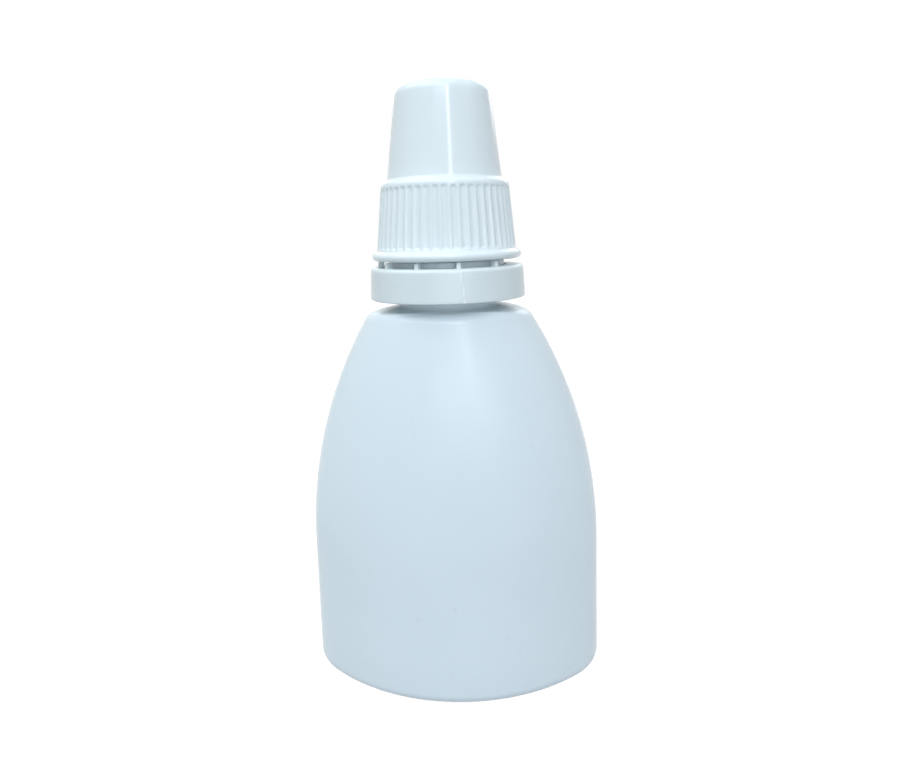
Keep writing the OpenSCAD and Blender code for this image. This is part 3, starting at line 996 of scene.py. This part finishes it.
@dataclass
class TamperRing(Piece):
    """The ring left under the cap, with the stubs of its broken bridges."""

    web_radius: float = 6.7
    top_radius: float = 8.65
    height: float = 3.6
    web: float = 0.8
    upper_round: float = 0.45
    lower_round: float = 0.1
    wall: float = 0.9
    web_edge: float = 0.1
    lip_radius: float = 6.15
    lip_height: float = 0.8
    lip_bevel: float = 0.35
    drop: float = 0.35
    bridge_inner: float = 7.15
    bridge_depth: float = 0.7
    bridge_width: float = 0.45
    bridge_taper: float = 0.86
    bridge_clear: float = 1.05
    bridges: int = 9
    bridge_pitch: float = radians(33)
    bridge_first: float = radians(46) - pi / 2
    seam_turn: float = radians(-75.2)
    seam_width: float = 0.1
    seam_height: float = 0.05
    seam_bends: tuple[tuple[float, float, float], ...] = ((0.016, 5.2, 0.6), (0.006, 17.0, 0.0))
    seam_pulse: tuple[float, float, float] = (0.45, 9.0, 1.8)
    seam_fade: float = 0.12
    seam_column: float = 0.004
    seam_columns: int = 9
    columns: int = 180
    column_gap: float = 0.4
    face_steps: int = 14
    margin: float = 0.05

    def __post_init__(self) -> None:
        """Reads the ring's place from the frame."""
        low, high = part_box(self.node)
        self.low = low.z / MM
        self.foot_radius = high.x / MM
        self.high = self.low + self.height
        self.bridge_top = high.z / MM
        self.face_from = self.top_radius - self.margin

    def bridge_turns(self) -> list[float]:
        """Turns of the middles of the bridges."""
        steps = range(self.bridges)
        return [(self.bridge_first - self.bridge_pitch * step) % FULL_TURN for step in steps]

    def turns(self) -> list[float]:
        """Turns of the columns, with one on each flank of a bridge and more round the seam.

        Returns:
            The turns in order.
        """
        half = self.bridge_width / 2 / (self.bridge_inner + self.bridge_depth / 2)
        flanks = [turn + side * half for turn in self.bridge_turns() for side in (-1, 1)]
        seam = [self.seam_turn + self.seam_column * i
                for i in range(-self.seam_columns, self.seam_columns + 1)]
        fixed = [turn % FULL_TURN for turn in flanks + seam]
        gap = self.column_gap * FULL_TURN / self.columns
        beside = self.bridge_clear * half
        free = [
            turn for turn in even_turns(self.columns)
            if all(abs(signed_turn(turn - other)) > gap for other in fixed)
            and all(abs(signed_turn(turn - other)) > beside for other in self.bridge_turns())
        ]
        return sorted(fixed + free)

    def seam(self, turn: float, height: float) -> float:
        """Height of the crooked line that the mould left on the ring's face.

        Args:
            turn: Turn of the place.
            height: Height of the place.

        Returns:
            How far the line stands out there.
        """
        up = (height - self.low) / self.height
        bend = sum(size * sin(rate * up + start) for size, rate, start in self.seam_bends)
        off = signed_turn(turn - self.seam_turn - bend) * self.foot_radius
        size, rate, start = self.seam_pulse
        pulse = 1 - size + size * sin(rate * up + start) ** 2
        fade = ease((1 - up) / self.seam_fade) * pulse
        return self.seam_height * bump_of(off, self.seam_width) * fade

    def outline(self) -> list[Point]:
        """Closed outline of the ring's wall, from the inside of its foot round the outside.

        Returns:
            The points, as distance from the axis and height.
        """
        inner = self.top_radius - self.wall
        lip_low = self.low + self.drop
        lip_top = lip_low + self.lip_height
        low_inner = self.foot_radius - self.wall
        slope = degrees(atan((self.foot_radius - self.top_radius) / self.height))
        e, web_edge = self.lower_round, self.web_edge
        foot = arc((self.foot_radius - e, self.low + e), e, -90, slope, 4)
        upper = arc((self.top_radius - self.upper_round, self.high - self.upper_round),
                    self.upper_round, slope, 90, 8)
        outer = self.bridge_inner + self.bridge_depth
        return (
            [(low_inner, self.low)] + foot + between(foot[-1], upper[0], self.face_steps) + upper
            + [(outer, self.high), (self.bridge_inner, self.high),
               (self.web_radius + web_edge, self.high), (self.web_radius, self.high - web_edge),
               (self.web_radius, self.high - self.web), (inner, self.high - self.web),
               (inner, lip_top), (self.lip_radius, lip_top),
               (self.lip_radius, lip_low + self.lip_bevel),
               (self.lip_radius + self.lip_bevel, lip_low), (low_inner, lip_low)]
        )

    def _row(self, radius: float, height: float) -> Row:
        """A row of the ring, with the seam on its outer face."""
        if radius < self.face_from:
            return round_row(radius, height)
        return lambda turn: round_row(radius + self.seam(turn, height), height)(turn)

    def raise_bridges(self, mesh: bmesh.types.BMesh) -> None:
        """Draws each bridge's stub up out of the ring's top face.

        Args:
            mesh: The ring's closed skin.
        """
        middle_radius = self.bridge_inner + self.bridge_depth / 2
        half = self.bridge_width / 2 / middle_radius
        band = []
        for face in mesh.faces:
            middle = face.calc_center_median() / MM
            off = hypot(middle.x, middle.y) - middle_radius
            if abs(middle.z - self.high) < self.margin and abs(off) < self.bridge_depth / 2:
                band.append((face, atan2(middle.y, middle.x)))
        for turn in self.bridge_turns():
            chosen = [face for face, other in band if abs(signed_turn(other - turn)) < half]
            made = bmesh.ops.extrude_face_region(mesh, geom=chosen)["geom"]
            bmesh.ops.delete(mesh, geom=chosen, context="FACES")
            centre = round_row(middle_radius, self.bridge_top)(turn) * MM
            for vertex in (item for item in made if isinstance(item, bmesh.types.BMVert)):
                vertex.co.z = centre.z
                vertex.co = centre + (vertex.co - centre) * self.bridge_taper

    def mark_line(self, mesh: bpy.types.Mesh) -> None:
        """Writes where the mould line runs into an attribute, for the plastic to read, which paints
        a highlight there by whitening its colour and makes it glossier.

        Args:
            mesh: The finished ring's mesh.
        """
        line = mesh.attributes.new(self.finish.line, "FLOAT", "POINT")
        for vertex, mark in zip(mesh.vertices, line.data):
            place = vertex.co / MM
            if hypot(place.x, place.y) > self.face_from:
                mark.value = self.seam(atan2(place.y, place.x), place.z) / self.seam_height

    def mesh_object(self) -> bpy.types.Object:
        """Draws the ring's skin along its closed outline, raises the bridges and marks the line.

        Returns:
            The object.
        """
        skin = Skin()
        skin.draw(self.turns(), [self._row(*point) for point in self.outline()])
        skin.close_ring()
        bmesh.ops.recalc_face_normals(skin.mesh, faces=skin.mesh.faces)
        self.raise_bridges(skin.mesh)
        ring = self.as_object(skin.mesh)
        self.mark_line(ring.data)
        return ring


@dataclass(frozen=True)
class SoftBox:
    """A soft lamp with a square or oblong face.

    Its bearing is 0 towards the front and 90 to the right, and its rise is counted from the level.
    Its size and its distance are in metres. Its level is its face's radiance.
    """

    name: str
    bearing_degrees: float
    rise_degrees: float
    size: tuple[float, float]
    level: float
    tint: Colour
    distance: float = 1.3

    def build(self, target: Vector) -> None:
        """Hangs the lamp.

        Args:
            target: The point that it faces.
        """
        bearing, rise = radians(self.bearing_degrees), radians(self.rise_degrees)
        away = Vector((sin(bearing) * cos(rise), -cos(bearing) * cos(rise), sin(rise)))
        data = bpy.data.lights.new(self.name, "AREA")
        data.shape = "RECTANGLE"
        data.size, data.size_y = self.size
        data.energy = self.level * self.size[0] * self.size[1] * pi
        data.color = self.tint
        lamp = in_scene(self.name, data)
        lamp.location = target + away * self.distance
        lamp.rotation_euler = away.to_track_quat("Z", "Y").to_euler()


@dataclass
class Studio:
    """The pale floor, the white surroundings, the lamps and the camera.

    The focal length and the centre, at which the camera's axis meets the picture, are in pixels.
    The camera stands to the right of the front by its bearing, looks down by its tilt, and is
    turned by its lean. Its distance from the bottle's axis, its height above the floor and its
    sensor's width are in millimetres. Its reach and the floor's size are in metres. The floor's
    lift is the brightness that it has where it is seen, besides its colour.
    """

    picture: tuple[int, int] = (900, 780)
    focal: float = 654.35
    centre: Point = (448.6, 316.15)
    bearing: float = radians(4.2)
    tilt: float = radians(7.5)
    lean: float = 0.03
    distance: float = 75.0
    height: float = 51.2
    sensor: float = 36.0
    reach: tuple[float, float] = (0.001, 100.0)
    floor_size: float = 0.9
    floor_colour: Colour = (0.24, 0.25, 0.26)
    floor_lift: float = 0.92
    ambient: float = 0.3
    ambient_tint: Colour = (0.93, 0.98, 0.98)
    lamps: tuple[SoftBox, ...] = (
        SoftBox("overhead", -8, 62, (1.2, 1.0), 0.6, (0.91, 0.99, 1.06)),
        SoftBox("left_window", -66, 57, (1.6, 0.9), 1.8, (0.9, 1.0, 1.05)),
        SoftBox("right_window", 75, 40, (0.8, 0.8), 0.7, (0.9, 1.0, 1.08)),
        SoftBox("back_window", 175, 30, (1.4, 0.8), 1.3, (0.9, 1.0, 1.08)),
        SoftBox("front_window", 4, 36, (0.7, 0.5), 2.9, (0.85, 0.98, 1.14)),
        SoftBox("front_low", 12, 3, (1.2, 0.2), 2.8, (0.86, 0.99, 1.12)),
        SoftBox("strip", 17, 26, (0.03, 0.9), 28.0, (0.95, 1.0, 1.05)),
    )

    def camera(self) -> None:
        """Sets up the camera where the photograph was taken from."""
        width, height = self.picture
        data = bpy.data.cameras.new("photo_camera")
        data.sensor_fit = "HORIZONTAL"
        data.sensor_width = self.sensor
        data.lens = self.focal / width * self.sensor
        data.shift_x = (width / 2 - self.centre[0]) / width
        data.shift_y = (self.centre[1] - height / 2) / width
        data.clip_start, data.clip_end = self.reach
        camera = in_scene("photo_camera", data)
        camera.location = (
            self.distance * MM * sin(self.bearing),
            -self.distance * MM * cos(self.bearing),
            self.height * MM,
        )
        aim = Euler((pi / 2 - self.tilt, 0.0, self.bearing)).to_matrix()
        camera.rotation_euler = (aim @ Matrix.Rotation(-self.lean, 3, "Z")).to_euler()
        bpy.context.scene.camera = camera

    def floor(self) -> None:
        """Lays the pale floor, which keeps the bottle's shadow."""
        mesh = bmesh.new()
        bmesh.ops.create_grid(mesh, x_segments=2, y_segments=2, size=self.floor_size / 2)
        data = bpy.data.meshes.new("floor")
        mesh.to_mesh(data)
        mesh.free()
        material = bpy.data.materials.new("pale_floor")
        graph = Graph(material)
        nodes = graph.tree.nodes
        nodes.remove(nodes["Principled BSDF"])
        matt = graph.add("ShaderNodeBsdfDiffuse", {"Color": (*self.floor_colour, 1.0)})["BSDF"]
        lift = graph.reckon("MULTIPLY", graph.seen_ray(), self.floor_lift)
        glow = graph.add("ShaderNodeEmission", {"Strength": lift})["Emission"]
        both = graph.add("ShaderNodeAddShader", {0: matt, 1: glow})["Shader"]
        graph.feed(nodes["Material Output"], {"Surface": both})
        data.materials.append(material)
        in_scene("floor", data)

    def surroundings(self) -> None:
        """Sets the white surroundings, whose light on the bottle is slightly cool."""
        world = bpy.data.worlds.new("white_room")
        bpy.context.scene.world = world
        graph = Graph(world)
        light = graph.tree.nodes["Background"]
        graph.feed(light, {"Color": (*self.ambient_tint, 1.0), "Strength": self.ambient})
        white = graph.add("ShaderNodeBackground", {"Color": (1.0, 1.0, 1.0, 1.0), "Strength": 1.0})
        feeds = {"Fac": graph.seen_ray(), 1: light.outputs["Background"], 2: white["Background"]}
        both = graph.add("ShaderNodeMixShader", feeds)["Shader"]
        graph.feed(graph.tree.nodes["World Output"], {"Surface": both})

    def build(self) -> None:
        """Builds everything round the bottle."""
        self.camera()
        self.floor()
        self.surroundings()
        for lamp in self.lamps:
            lamp.build(Vector((0.0, 0.0, self.height * MM)))
        bpy.context.scene.view_settings.view_transform = "Standard"
        LOG.info("studio: camera %.0f mm from the axis", self.distance)


def main() -> None:
    """Builds the studio and the pieces, in order."""
    logging.basicConfig(level=logging.INFO, format="%(name)s %(message)s")
    Studio().build()
    bottle = Bottle("squeeze_bottle", "bottle", Body.BOTTLE, Slot.BOTTLE, BOTTLE_PLASTIC)
    pieces: list[Piece] = [
        bottle,
        DropperTip("nozzle_tip", "dropper_tip", Body.BOTTLE, Slot.TIP, TIP_PLASTIC),
        ScrewCap("ribbed_cap", "screw_cap", Body.CAP, Slot.CAP, CAP_PLASTIC, neck=bottle),
        TamperRing("broken_ring", "tamper_ring", Body.RING, Slot.RING, RING_PLASTIC),
    ]
    for piece in pieces:
        piece.build()


if __name__ == "__main__":
    main()
